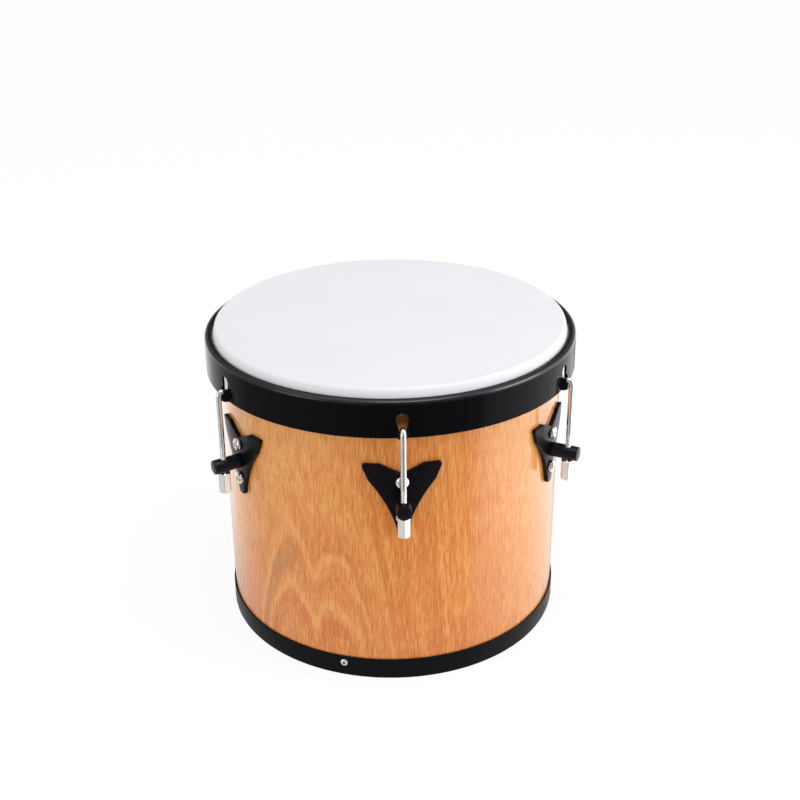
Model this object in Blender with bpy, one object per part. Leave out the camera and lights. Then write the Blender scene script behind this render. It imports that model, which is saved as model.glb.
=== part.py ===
"""A single-headed wooden drum with six hook rods, modelled in metres with +Z up.

The origin lies on the drum's axis, in the plane that the drum stands on. Lug 1 faces -Y, and the
other lugs follow it anticlockwise as seen from above.
"""

import math

import bmesh
import bpy
from mathutils import Matrix, Vector

# Layout
LUG_COUNT = 6
RIVET_COUNT = 3
RIVET_LEAD = math.radians(-19.5)  # from lug 1 to the first rivet
ROUND_STEPS = 60  # facets of the large rings, a multiple of the lug count
SMALL_STEPS = 12  # facets of bores, nuts, screws and rivets
POST_STEPS = 16
SEAT_GAP = 0.0003  # between two pieces that touch
CUT_OVERRUN = 0.001  # of a cutter past the faces that it opens

# Shell
SHELL_RADIUS = 0.1525
SHELL_WALL = 0.007
SHELL_HEIGHT = 0.278
EDGE_ROUND = 0.002  # outer round of the bearing edge
EDGE_LAND = 0.0006  # flat crown of the bearing edge

# Rim band, an angle ring round the bottom edge
BAND_THICKNESS = 0.001
BAND_HEIGHT = 0.020
BAND_BEND = 0.0012  # bend radius at the middle of the sheet

# Blind rivets of the rim band
RIVET_RISE = 0.0136
RIVET_HEAD_RADIUS = 0.00325
RIVET_HEAD_DEPTH = 0.0011
RIVET_SHANK_RADIUS = 0.0016
RIVET_TAIL_RADIUS = 0.0025
RIVET_TAIL_DEPTH = 0.0025
RIVET_EYE_RADIUS = 0.0009
RIVET_EYE_DEPTH = 0.0016

# Drumhead film
FILM_THICKNESS = 0.0004
FILM_SKIRT = 0.004  # depth held in the flesh hoop
SKIRT_REACH = 0.0047  # from the shell to the middle of the skirt
COLLAR_REACH = 0.0033  # from the shell to the outside of the moulded shoulder
COLLAR_ROUND = 0.003  # outside of the shoulder

# Counter-hoop
HOOP_STANDOFF = 0.0103  # from the shell to the inside of the hoop's wall
HOOP_THICKNESS = 0.002
HOOP_HEIGHT = 0.032
HOOP_DROP = 0.0073  # from the top of the film down to the top of the hoop
HOOP_BEND = 0.002  # bend radius at the middle of the sheet
LIP_PLAY = 0.0007  # from the film's skirt to the lip's edge

# Flesh hoop
FLESH_INNER_PLAY = 0.0015  # to the shell
FLESH_OUTER_PLAY = 0.001  # to the counter-hoop's wall
FLESH_HEIGHT = 0.007

# Hook slots and pressed seats in the counter-hoop
SLOT_TOP_RADIUS = 0.0052
SLOT_TOP_RISE = 0.0165  # of the upper round's centre over the hoop's lower edge
SEAT_RISE = 0.0054  # of the slot's foot over the hoop's lower edge
SEAT_SHOULDER = 0.012  # of the pressed seat's shoulders over the hoop's lower edge
SEAT_WALL = 0.0016  # metal left in the pressed seat
SEAT_INSET = 0.0006  # of the seat's axis from the outside of the hoop

# Hook rods
ROD_RADIUS = 0.0025
ROD_PLAY = 0.0003  # round the rod in slots and seats
HOOK_PLAY = 0.0005  # from the seat's outside to the rod
HOOK_LEG = 0.0025  # straight end of the hook
HOOK_STEPS = 10
ROD_ENGAGEMENT = 0.0118  # length in the tension nut
HOLE_PLAY = 0.0004  # round the rod in the post and the nut

# Lugs
LUG_HEIGHT = 0.1814  # post axis over the floor
PLATE_THICKNESS = 0.0035
PLATE_HALF_WIDTH = 0.0338
PLATE_RISE = 0.0310  # from the post axis to the arms' tops
PLATE_DROP = 0.0322  # from the post axis to the foot
PLATE_FOOT_HALF_WIDTH = 0.0036
ARM_TOP_WIDTH = 0.0155
ARM_OUTER_DROP = 0.0145  # from the arms' tops to their outer lower corners
ARM_OUTER_INSET = 0.0060
NOTCH_DEPTH = 0.009
FLANK_PULL = 0.0032  # how far the flanks curve in
FLANK_STEPS = 4
CORNER_ROUND = 0.0018
POST_RADIUS = 0.0063
POST_OVERHANG = 0.0096  # beyond the rod's axis
POST_CHAMFER = 0.0006
SPIGOT_RADIUS = 0.0037

# Tension nuts
NUT_FLATS = 0.010
NUT_LENGTH = 0.019
NUT_CHAMFER = 0.0012
NUT_CONE = math.radians(40.0)

# Plate screws and their inner nuts
UPPER_SCREW_RISE = 0.0159  # from the post axis
LOWER_SCREW_DROP = 0.0168
SCREW_RADIUS = 0.0025
SCREW_PLAY = 0.0003
SCREW_HEAD_RADIUS = 0.0056
SCREW_HEAD_DEPTH = 0.0034
SCREW_CROWN_RADIUS = 0.0030  # flat of the head
SCREW_HEAD_RIM = 0.0011  # upright side of the head
SCREW_TIP = 0.0015  # beyond the inner nut
RECESS_SPAN = 0.0058
RECESS_SLOT = 0.0012
RECESS_DEPTH = 0.0017
INNER_NUT_FLATS = 0.008
INNER_NUT_LENGTH = 0.005
FLANGE_RADIUS = 0.0055
FLANGE_DEPTH = 0.0012

# Heights and radii worked out from the sizes above
shell_bottom = BAND_THICKNESS + SEAT_GAP
shell_top = shell_bottom + SHELL_HEIGHT
head_top = shell_top + SEAT_GAP + FILM_THICKNESS
hoop_top = head_top - HOOP_DROP
hoop_bottom = hoop_top - HOOP_HEIGHT
hoop_inner = SHELL_RADIUS + HOOP_STANDOFF
hoop_outer = hoop_inner + HOOP_THICKNESS
flesh_inner = SHELL_RADIUS + FLESH_INNER_PLAY
flesh_outer = hoop_inner - FLESH_OUTER_PLAY
flesh_top = hoop_top - HOOP_THICKNESS - SEAT_GAP
flesh_bottom = flesh_top - FLESH_HEIGHT
skirt_radius = SHELL_RADIUS + SKIRT_REACH
lip_edge = skirt_radius + 0.5 * FILM_THICKNESS + LIP_PLAY
seat_bore = ROD_RADIUS + ROD_PLAY
seat_pipe = seat_bore + SEAT_WALL
seat_axis = hoop_outer - SEAT_INSET
seat_foot = hoop_bottom + SEAT_RISE
rod_axis = seat_axis + seat_pipe + HOOK_PLAY + ROD_RADIUS
hook_bend = 0.5 * (rod_axis - seat_axis)
seat_corner = max(hook_bend - seat_bore, seat_pipe - hook_bend)
hook_sag = math.sqrt((hook_bend - ROD_RADIUS) ** 2 - seat_corner**2)
hook_height = seat_foot + SEAT_GAP - hook_sag
plate_inner = SHELL_RADIUS + SEAT_GAP
plate_outer = plate_inner + PLATE_THICKNESS
post_foot = plate_outer + SEAT_GAP
post_end = rod_axis + POST_OVERHANG
nut_top = LUG_HEIGHT - POST_RADIUS - SEAT_GAP
rod_end = nut_top - ROD_ENGAGEMENT
screw_heights = {
    "upper": LUG_HEIGHT + UPPER_SCREW_RISE,
    "lower": LUG_HEIGHT - LOWER_SCREW_DROP,
}
inner_nut_face = SHELL_RADIUS - SHELL_WALL - 2.0 * SEAT_GAP
lug_angles = [2.0 * math.pi * k / LUG_COUNT for k in range(LUG_COUNT)]
rivet_angles = [RIVET_LEAD + 2.0 * math.pi * k / RIVET_COUNT for k in range(RIVET_COUNT)]


def clear_scene():
    for obj in list(bpy.data.objects):
        bpy.data.objects.remove(obj, do_unlink=True)


def finish(name, colour, roughness, metallic=0.0):
    """A Principled material of one colour."""
    material = bpy.data.materials.new(name)
    material.use_nodes = True
    shader = material.node_tree.nodes["Principled BSDF"]
    shader.inputs["Base Color"].default_value = (*colour, 1.0)
    shader.inputs["Roughness"].default_value = roughness
    shader.inputs["Metallic"].default_value = metallic
    return material


def add_object(name, data, material=None, parent=None, location=(0.0, 0.0, 0.0)):
    obj = bpy.data.objects.new(name, data)
    bpy.context.collection.objects.link(obj)
    if material is not None and not data.materials:
        data.materials.append(material)
    obj.parent = parent
    obj.location = location
    return obj


def mesh_from(name, shape, smooth_angle=math.radians(35.0)):
    """Turns a bmesh with its faces pointing out into a mesh, smooth but for its sharp edges."""
    bmesh.ops.recalc_face_normals(shape, faces=shape.faces)
    if shape.calc_volume(signed=True) < 0.0:
        bmesh.ops.reverse_faces(shape, faces=shape.faces)
    mesh = bpy.data.meshes.new(name)
    shape.to_mesh(mesh)
    shape.free()
    mesh.shade_smooth()
    mesh.set_sharp_from_angle(angle=smooth_angle)
    return mesh


def arc(centre, radius, first, last, steps):
    """Points of an arc in a plane, from one angle to another."""
    angles = [first + (last - first) * k / steps for k in range(steps + 1)]
    return [
        (centre[0] + radius * math.cos(a), centre[1] + radius * math.sin(a)) for a in angles
    ]


def circle(centre, radius, steps=SMALL_STEPS):
    return arc(centre, radius, 0.0, 2.0 * math.pi * (1.0 - 1.0 / steps), steps - 1)


def dome(rim, crown, foot, rise, steps=3):
    """A quarter ellipse of (radius, height) points, from a head's rim in to its crown."""
    angles = [0.5 * math.pi * k / steps for k in range(steps + 1)]
    return [
        (crown + (rim - crown) * math.cos(a), foot + rise * math.sin(a)) for a in angles
    ]


def sheet_section(line, thickness):
    """The closed outline of a bent sheet, half its thickness to each side of its middle line."""
    points = [Vector(p) for p in line]
    sides = ([], [])
    for k, point in enumerate(points):
        runs = []
        if k > 0:
            runs.append((point - points[k - 1]).normalized())
        if k < len(points) - 1:
            runs.append((points[k + 1] - point).normalized())
        along = sum(runs, Vector((0.0, 0.0))).normalized()
        across = Vector((-along.y, along.x))
        reach = 0.5 * thickness / max(0.2, along.dot(runs[0]))
        sides[0].append(tuple(point + across * reach))
        sides[1].append(tuple(point - across * reach))
    return sides[0] + sides[1][::-1]


def turn(section, steps, closed=True):
    """Spins an outline of (radius, height) points about Z. An open outline ends on the axis."""
    shape = bmesh.new()
    verts = [shape.verts.new((r, 0.0, z)) for r, z in section]
    pairs = list(zip(verts, verts[1:]))
    if closed:
        pairs.append((verts[-1], verts[0]))
    edges = [shape.edges.new(pair) for pair in pairs]
    bmesh.ops.spin(
        shape,
        geom=verts + edges,
        cent=(0.0, 0.0, 0.0),
        axis=(0.0, 0.0, 1.0),
        angle=2.0 * math.pi,
        steps=steps,
        use_duplicate=False,
    )
    bmesh.ops.remove_doubles(shape, verts=shape.verts, dist=1e-6)
    return shape


def outward(shape):
    """Lays a shape made along +Z so that it points out of the drum at lug 1."""
    bmesh.ops.rotate(
        shape,
        verts=shape.verts,
        cent=(0.0, 0.0, 0.0),
        matrix=Matrix.Rotation(math.radians(90.0), 3, "X"),
    )
    return shape


def prism(outline, low, high):
    """An outline in the XY plane, raised from one height to another."""
    shape = bmesh.new()
    face = shape.faces.new([shape.verts.new((x, y, low)) for x, y in outline])
    raised = bmesh.ops.extrude_face_region(shape, geom=[face])
    tops = [item for item in raised["geom"] if isinstance(item, bmesh.types.BMVert)]
    bmesh.ops.translate(shape, verts=tops, vec=(0.0, 0.0, high - low))
    return shape


def hexagon(flats):
    """A hexagon with one corner towards -Y."""
    radius = flats / math.sqrt(3.0)
    return arc((0.0, 0.0), radius, math.radians(-90.0), math.radians(210.0), 5)


def repeat_round(shape, angles):
    """Copies a shape made at lug 1 to each angle about Z, in one mesh."""
    first = list(shape.verts)
    source = first + list(shape.edges) + list(shape.faces)
    for angle in angles[1:]:
        copied = bmesh.ops.duplicate(shape, geom=source)
        verts = [item for item in copied["geom"] if isinstance(item, bmesh.types.BMVert)]
        turned = Matrix.Rotation(angle, 3, "Z")
        bmesh.ops.rotate(shape, verts=verts, cent=(0.0, 0.0, 0.0), matrix=turned)
    turned = Matrix.Rotation(angles[0], 3, "Z")
    bmesh.ops.rotate(shape, verts=first, cent=(0.0, 0.0, 0.0), matrix=turned)
    return shape


def tool(name, shape):
    """A cutter or a shape to be joined, left out of the model."""
    obj = add_object(name, mesh_from(name, shape))
    obj.hide_render = True
    obj.display_type = "WIRE"
    return obj


def combine(obj, other, operation):
    step = obj.modifiers.new(other.name, "BOOLEAN")
    step.operation = operation
    step.solver = "EXACT"
    step.object = other
    return obj


def baked(obj):
    """The mesh of an object with its modifiers applied. The object and its tools are removed."""
    graph = bpy.context.evaluated_depsgraph_get()
    mesh = bpy.data.meshes.new_from_object(obj.evaluated_get(graph))
    mesh.name = obj.name
    for step in obj.modifiers:
        bpy.data.objects.remove(step.object, do_unlink=True)
    bpy.data.objects.remove(obj, do_unlink=True)
    return mesh


def radial_bores(name, radius, low, high, heights, angles):
    """Cylinders that point out of the drum, between two distances from its axis."""
    shape = bmesh.new()
    for height in heights:
        near = [shape.verts.new((x, -low, z)) for x, z in circle((0.0, height), radius)]
        face = shape.faces.new(near)
        raised = bmesh.ops.extrude_face_region(shape, geom=[face])
        far = [item for item in raised["geom"] if isinstance(item, bmesh.types.BMVert)]
        bmesh.ops.translate(shape, verts=far, vec=(0.0, low - high, 0.0))
    return tool(name, repeat_round(shape, angles))


def make_shell(material):
    """A bent cylinder with a bearing edge on top and bores for the screws and the rivets."""
    inner = SHELL_RADIUS - SHELL_WALL
    crown = SHELL_RADIUS - EDGE_ROUND
    bevel = crown - EDGE_LAND - inner
    section = [(inner, shell_bottom), (SHELL_RADIUS, shell_bottom)]
    section += arc((crown, shell_top - EDGE_ROUND), EDGE_ROUND, 0.0, math.radians(90.0), 4)
    section += [(crown - EDGE_LAND, shell_top), (inner, shell_top - bevel)]
    shell = add_object("shell", mesh_from("shell", turn(section, ROUND_STEPS)), material)
    near = inner - SHELL_WALL
    far = SHELL_RADIUS + SHELL_WALL
    screw_bore = SCREW_RADIUS + SCREW_PLAY
    screws = radial_bores(
        "shell_screw_bores", screw_bore, near, far, screw_heights.values(), lug_angles
    )
    rivet_bore = RIVET_SHANK_RADIUS + SEAT_GAP
    rivets = radial_bores(
        "shell_rivet_bores", rivet_bore, near, far, [RIVET_RISE], rivet_angles
    )
    combine(shell, screws, "DIFFERENCE")
    combine(shell, rivets, "DIFFERENCE")


def make_rim_band(material):
    """An angle ring: a skirt outside the shell and a flange under its edge."""
    middle = SHELL_RADIUS + SEAT_GAP + 0.5 * BAND_THICKNESS
    floor = 0.5 * BAND_THICKNESS
    line = [(SHELL_RADIUS - SHELL_WALL, floor)]
    centre = (middle - BAND_BEND, floor + BAND_BEND)
    line += arc(centre, BAND_BEND, math.radians(-90.0), 0.0, 3)
    line += [(middle, BAND_HEIGHT)]
    section = sheet_section(line, BAND_THICKNESS)
    band = add_object("rim_band", mesh_from("rim_band", turn(section, ROUND_STEPS)), material)
    bores = radial_bores(
        "band_rivet_bores",
        RIVET_SHANK_RADIUS + SEAT_GAP,
        SHELL_RADIUS - SHELL_WALL,
        SHELL_RADIUS + SHELL_WALL,
        [RIVET_RISE],
        rivet_angles,
    )
    combine(band, bores, "DIFFERENCE")


def make_rivets(material):
    """Domed blind rivets with the hollow of the pulled stem, and a swelled tail in the shell."""
    head = SHELL_RADIUS + BAND_THICKNESS + 2.0 * SEAT_GAP
    tail = SHELL_RADIUS - SHELL_WALL - 2.0 * SEAT_GAP
    section = [
        (0.0, tail - RIVET_TAIL_DEPTH),
        (0.7 * RIVET_TAIL_RADIUS, tail - RIVET_TAIL_DEPTH),
        (RIVET_TAIL_RADIUS, tail - 0.5 * RIVET_TAIL_DEPTH),
        (RIVET_SHANK_RADIUS, tail),
        (RIVET_SHANK_RADIUS, head),
        *dome(RIVET_HEAD_RADIUS, RIVET_EYE_RADIUS, head, RIVET_HEAD_DEPTH),
        (RIVET_EYE_RADIUS, head + RIVET_HEAD_DEPTH - RIVET_EYE_DEPTH),
        (0.0, head + RIVET_HEAD_DEPTH - RIVET_EYE_DEPTH),
    ]
    mesh = mesh_from("rim_rivet", outward(turn(section, SMALL_STEPS, closed=False)))
    for k, angle in enumerate(rivet_angles):
        rivet = add_object(f"rim_rivet_{k + 1}", mesh, material)
        rivet.location.z = RIVET_RISE
        rivet.rotation_euler.z = angle


def film_line():
    """The middle of the film, from its skirt's foot over the moulded shoulder to the axis."""
    centre = Vector((SHELL_RADIUS + COLLAR_REACH - COLLAR_ROUND, head_top - COLLAR_ROUND))
    radius = COLLAR_ROUND - 0.5 * FILM_THICKNESS
    knee = Vector((skirt_radius, flesh_top + SEAT_GAP))
    reach = knee - centre
    leave = math.atan2(reach.y, reach.x) + math.acos(radius / reach.length)
    line = [(skirt_radius, knee.y - FILM_SKIRT), tuple(knee)]
    line += arc(centre, radius, leave, math.radians(90.0), 3)
    return line + [(0.0, centre.y + radius)]


def make_drumhead(material):
    """One film: flat on top, with a rounded shoulder, a steep collar and a skirt."""
    section = sheet_section(film_line(), FILM_THICKNESS)
    half = len(section) // 2
    section = section[half:] + section[:half]
    shape = turn(section, ROUND_STEPS, closed=False)
    add_object("drumhead", mesh_from("drumhead", shape), material)


def make_flesh_hoop(material):
    """A ring with a groove in its top, which holds the film's skirt."""
    groove = 0.5 * FILM_THICKNESS + SEAT_GAP
    groove_foot = flesh_top - FILM_SKIRT
    section = [
        (flesh_inner, flesh_bottom),
        (flesh_outer, flesh_bottom),
        (flesh_outer, flesh_top),
        (skirt_radius + groove, flesh_top),
        (skirt_radius + groove, groove_foot),
        (skirt_radius - groove, groove_foot),
        (skirt_radius - groove, flesh_top),
        (flesh_inner, flesh_top),
    ]
    shape = turn(section, ROUND_STEPS)
    add_object("flesh_hoop", mesh_from("flesh_hoop", shape), material)


def slot_outline():
    """A keyhole of two rounds and their outer tangents, as (sideways, height) points."""
    top = hoop_bottom + SLOT_TOP_RISE
    foot = seat_foot + seat_bore
    lean = math.asin((SLOT_TOP_RADIUS - seat_bore) / (top - foot))
    over = arc((0.0, top), SLOT_TOP_RADIUS, -lean, math.pi + lean, 8)
    under = arc((0.0, foot), seat_bore, math.pi + lean, 2.0 * math.pi - lean, 6)
    return over + under


def make_counter_hoop(material):
    """A bent ring with a lip, six pressed hook seats and the keyhole slots above them."""
    middle = 0.5 * (hoop_inner + hoop_outer)
    lip = hoop_top - 0.5 * HOOP_THICKNESS
    centre = (middle - HOOP_BEND, lip - HOOP_BEND)
    line = [(middle, hoop_bottom)]
    line += arc(centre, HOOP_BEND, 0.0, math.radians(90.0), 3)
    line += [(lip_edge, lip)]
    section = sheet_section(line, HOOP_THICKNESS)
    shape = turn(section, ROUND_STEPS)
    hoop = add_object("counter_hoop", mesh_from("counter_hoop", shape), material)

    sweep = math.asin((seat_axis - middle) / seat_pipe)
    pipe = arc((0.0, -seat_axis), seat_pipe, math.pi - sweep, 2.0 * math.pi + sweep, 8)
    seats = repeat_round(prism(pipe, hoop_bottom, hoop_bottom + SEAT_SHOULDER), lug_angles)
    combine(hoop, tool("hook_seats", seats), "UNION")

    bore = circle((0.0, -seat_axis), seat_bore)
    low = hoop_bottom - HOOP_THICKNESS
    bores = repeat_round(prism(bore, low, seat_foot + seat_bore), lug_angles)
    combine(hoop, tool("hook_bores", bores), "DIFFERENCE")

    slot = bmesh.new()
    near = hoop_inner - HOOP_THICKNESS
    far = seat_axis + seat_pipe + HOOP_THICKNESS
    face = slot.faces.new([slot.verts.new((x, -near, z)) for x, z in slot_outline()])
    raised = bmesh.ops.extrude_face_region(slot, geom=[face])
    ends = [item for item in raised["geom"] if isinstance(item, bmesh.types.BMVert)]
    bmesh.ops.translate(slot, verts=ends, vec=(0.0, near - far, 0.0))
    combine(hoop, tool("hook_slots", repeat_round(slot, lug_angles)), "DIFFERENCE")


def rod_curve():
    """The rod's centre line: up from the nut, over the seat by a half turn, and a short end."""
    curve = bpy.data.curves.new("hook_rod", "CURVE")
    curve.dimensions = "3D"
    curve.bevel_depth = ROD_RADIUS
    curve.bevel_resolution = 3
    curve.use_fill_caps = True
    bend = arc((seat_axis + hook_bend, hook_height), hook_bend, 0.0, math.pi, HOOK_STEPS)
    path = [(rod_axis, rod_end), *bend, (seat_axis, hook_height - HOOK_LEG)]
    spline = curve.splines.new("POLY")
    spline.points.add(len(path) - 1)
    for point, (radius, height) in zip(spline.points, path):
        point.co = (0.0, rod_axis - radius, height, 1.0)
    return curve


def plate_outline():
    """A plain chevron: two arms with flat tops, a shallow notch and flanks that curve in."""
    top = LUG_HEIGHT + PLATE_RISE
    foot = LUG_HEIGHT - PLATE_DROP
    arm_inner = PLATE_HALF_WIDTH - ARM_TOP_WIDTH
    start = Vector((PLATE_HALF_WIDTH - ARM_OUTER_INSET, top - ARM_OUTER_DROP))
    end = Vector((PLATE_FOOT_HALF_WIDTH, foot))
    across = Vector((end.y - start.y, start.x - end.x)).normalized()
    pull = 0.5 * (start + end) + 2.0 * FLANK_PULL * across
    flank = []
    for k in range(FLANK_STEPS + 1):
        t = k / FLANK_STEPS
        flank.append((1.0 - t) ** 2 * start + 2.0 * t * (1.0 - t) * pull + t * t * end)
    right = [(arm_inner, top), (PLATE_HALF_WIDTH, top)] + [tuple(p) for p in flank]
    left = [(-x, z) for x, z in reversed(right)]
    return right + left + [(0.0, top - NOTCH_DEPTH)]


def plate_mesh():
    """The chevron with its corners rounded, bent round the shell and bored."""
    shape = prism(plate_outline(), 0.0, PLATE_THICKNESS)
    uprights = [e for e in shape.edges if abs(e.verts[0].co.z - e.verts[1].co.z) > 1e-6]
    corners = [e for e in uprights if e.calc_face_angle(0.0) > math.radians(20.0)]
    bmesh.ops.bevel(shape, geom=corners, offset=CORNER_ROUND, segments=2, affect="EDGES")
    strips = 4
    spacing = PLATE_HALF_WIDTH / strips
    for k in range(1 - strips, strips):
        geometry = list(shape.verts) + list(shape.edges) + list(shape.faces)
        place = (k * spacing, 0.0, 0.0)
        bmesh.ops.bisect_plane(shape, geom=geometry, plane_co=place, plane_no=(1.0, 0.0, 0.0))
    for vert in shape.verts:
        angle = vert.co.x / plate_outer
        radius = plate_inner + vert.co.z
        height = vert.co.y
        vert.co = (radius * math.sin(angle), -radius * math.cos(angle), height)
    near = SHELL_RADIUS - PLATE_THICKNESS
    far = plate_outer + PLATE_THICKNESS
    plate = add_object("lug_plate", mesh_from("lug_plate", shape))
    screws = radial_bores(
        "plate_screw_bores",
        SCREW_RADIUS + SCREW_PLAY,
        near,
        far,
        screw_heights.values(),
        [0.0],
    )
    spigot = radial_bores(
        "plate_spigot_bore", SPIGOT_RADIUS + SEAT_GAP, near, far, [LUG_HEIGHT], [0.0]
    )
    combine(plate, screws, "DIFFERENCE")
    combine(plate, spigot, "DIFFERENCE")
    return baked(plate)


def post_mesh():
    """A round bar on a spigot, chamfered at its end, with a cross-hole for the rod."""
    length = post_end - post_foot
    spigot = post_foot - plate_inner - SEAT_GAP
    section = [
        (0.0, -spigot),
        (SPIGOT_RADIUS, -spigot),
        (SPIGOT_RADIUS, 0.0),
        (POST_RADIUS, 0.0),
        (POST_RADIUS, length - POST_CHAMFER),
        (POST_RADIUS - POST_CHAMFER, length),
        (0.0, length),
    ]
    shape = outward(turn(section, POST_STEPS, closed=False))
    post = add_object("lug_post", mesh_from("lug_post", shape))
    hole = ROD_RADIUS + HOLE_PLAY
    reach = POST_RADIUS + CUT_OVERRUN
    cutter = prism(circle((0.0, post_foot - rod_axis), hole), -reach, reach)
    combine(post, tool("post_cross_hole", cutter), "DIFFERENCE")
    return baked(post)


def nut_mesh():
    """A tall hexagon with its corners chamfered at both ends and a bore right through."""
    shape = prism(hexagon(NUT_FLATS), -NUT_LENGTH, 0.0)
    nut = add_object("tension_nut", mesh_from("tension_nut", shape))
    corner = NUT_FLATS / math.sqrt(3.0)
    face = corner - NUT_CHAMFER
    side = NUT_CHAMFER * math.tan(NUT_CONE)
    section = [
        (0.0, -NUT_LENGTH - SEAT_GAP),
        (face, -NUT_LENGTH - SEAT_GAP),
        (corner + SEAT_GAP, -NUT_LENGTH + side),
        (corner + SEAT_GAP, -side),
        (face, SEAT_GAP),
        (0.0, SEAT_GAP),
    ]
    barrel = tool("nut_barrel", turn(section, SMALL_STEPS, closed=False))
    hole = ROD_RADIUS + HOLE_PLAY
    bore = prism(circle((0.0, 0.0), hole), -NUT_LENGTH - CUT_OVERRUN, CUT_OVERRUN)
    combine(nut, barrel, "INTERSECT")
    combine(nut, tool("nut_bore", bore), "DIFFERENCE")
    return baked(nut)


def screw_mesh():
    """A pan-head screw with a cross recess. Its head's seat lies at the origin."""
    shank = plate_outer + SEAT_GAP - inner_nut_face + INNER_NUT_LENGTH + SCREW_TIP
    rise = SCREW_HEAD_DEPTH - SCREW_HEAD_RIM
    section = [
        (0.0, -shank),
        (SCREW_RADIUS, -shank),
        (SCREW_RADIUS, 0.0),
        (SCREW_HEAD_RADIUS, 0.0),
        *dome(SCREW_HEAD_RADIUS, SCREW_CROWN_RADIUS, SCREW_HEAD_RIM, rise),
        (0.0, SCREW_HEAD_DEPTH),
    ]
    shape = outward(turn(section, SMALL_STEPS, closed=False))
    screw = add_object("plate_screw", mesh_from("plate_screw", shape))
    half = 0.5 * RECESS_SPAN
    slot = 0.5 * RECESS_SLOT
    cross = [(half, slot), (slot, slot), (slot, half), (-slot, half), (-slot, slot), (-half, slot)]
    cross += [(-x, -y) for x, y in cross]
    floor = SCREW_HEAD_DEPTH - RECESS_DEPTH
    recess = outward(prism(cross, floor, SCREW_HEAD_DEPTH + CUT_OVERRUN))
    combine(screw, tool("screw_recess", recess), "DIFFERENCE")
    return baked(screw)


def inner_nut_mesh():
    """A flanged hexagonal nut. Its flange lies at the origin, against the shell."""
    shape = outward(prism(hexagon(INNER_NUT_FLATS), -INNER_NUT_LENGTH, -0.5 * FLANGE_DEPTH))
    nut = add_object("inner_nut", mesh_from("inner_nut", shape))
    ring = circle((0.0, 0.0), FLANGE_RADIUS)
    hole = circle((0.0, 0.0), SCREW_RADIUS + SCREW_PLAY)
    flange = outward(prism(ring, -FLANGE_DEPTH, 0.0))
    bore = outward(prism(hole, -INNER_NUT_LENGTH - CUT_OVERRUN, CUT_OVERRUN))
    combine(nut, tool("nut_flange", flange), "UNION")
    combine(nut, tool("inner_nut_bore", bore), "DIFFERENCE")
    return baked(nut)


def make_lugs():
    """Plate, post, rod, nut, screws and inner nuts at each lug, under one empty a lug."""
    black = finish("lug_black", (0.010, 0.010, 0.011), 0.38)
    rod_steel = finish("rod_nickel", (0.78, 0.76, 0.73), 0.22, 1.0)
    nut_steel = finish("nut_nickel", (0.76, 0.74, 0.72), 0.28, 1.0)
    screw_steel = finish("screw_nickel", (0.74, 0.73, 0.71), 0.26, 1.0)
    post_black = finish("post_black", (0.012, 0.012, 0.013), 0.42)
    zinc = finish("inner_nut_zinc", (0.62, 0.62, 0.64), 0.40, 1.0)
    plate = plate_mesh()
    post = post_mesh()
    rod = rod_curve()
    nut = nut_mesh()
    screw = screw_mesh()
    inner_nut = inner_nut_mesh()
    for k, angle in enumerate(lug_angles):
        number = k + 1
        station = add_object(f"lug_station_{number}", None)
        station.rotation_euler.z = angle
        add_object(f"lug_plate_{number}", plate, black, station)
        place = (0.0, -post_foot, LUG_HEIGHT)
        add_object(f"lug_post_{number}", post, post_black, station, place)
        add_object(f"hook_rod_{number}", rod, rod_steel, station, (0.0, -rod_axis, 0.0))
        add_object(f"tension_nut_{number}", nut, nut_steel, station, (0.0, -rod_axis, nut_top))
        for level, height in screw_heights.items():
            place = (0.0, -plate_outer - SEAT_GAP, height)
            add_object(f"{level}_screw_{number}", screw, screw_steel, station, place)
            place = (0.0, -inner_nut_face, height)
            add_object(f"{level}_inner_nut_{number}", inner_nut, zinc, station, place)


def main():
    clear_scene()
    make_shell(finish("veneer", (0.68, 0.30, 0.10), 0.30))
    make_rim_band(finish("band_black", (0.012, 0.011, 0.013), 0.35))
    make_rivets(finish("rivet_aluminium", (0.80, 0.80, 0.80), 0.30, 1.0))
    make_drumhead(finish("film_white", (0.86, 0.86, 0.88), 0.35))
    make_flesh_hoop(finish("flesh_hoop_aluminium", (0.70, 0.70, 0.71), 0.40, 1.0))
    make_counter_hoop(finish("hoop_black", (0.008, 0.008, 0.009), 0.20))
    make_lugs()


main()
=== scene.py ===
import math

import bmesh
import bpy
import numpy as np
from mathutils import Matrix, Vector


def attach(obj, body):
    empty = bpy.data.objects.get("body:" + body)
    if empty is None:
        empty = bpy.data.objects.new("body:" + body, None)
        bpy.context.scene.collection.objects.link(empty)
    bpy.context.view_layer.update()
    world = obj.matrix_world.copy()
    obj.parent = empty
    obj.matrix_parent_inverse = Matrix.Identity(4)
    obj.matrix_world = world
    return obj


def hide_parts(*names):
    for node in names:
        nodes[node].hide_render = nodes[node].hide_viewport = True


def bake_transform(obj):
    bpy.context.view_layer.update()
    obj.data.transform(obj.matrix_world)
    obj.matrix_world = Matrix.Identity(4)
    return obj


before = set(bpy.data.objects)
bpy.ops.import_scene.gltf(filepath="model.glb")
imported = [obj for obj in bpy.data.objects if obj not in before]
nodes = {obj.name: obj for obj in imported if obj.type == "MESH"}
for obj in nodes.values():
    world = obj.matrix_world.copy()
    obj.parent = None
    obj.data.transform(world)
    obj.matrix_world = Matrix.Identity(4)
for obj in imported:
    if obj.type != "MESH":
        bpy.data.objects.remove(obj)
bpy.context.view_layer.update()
scene = bpy.context.scene
lugStep = math.radians(60.0)
lugAngles = [math.radians(60 * k) for k in range(6)]  # 0 is the front, anticlockwise from above
print("frame loaded,", len(nodes), "nodes")


# Surfaces

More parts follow.
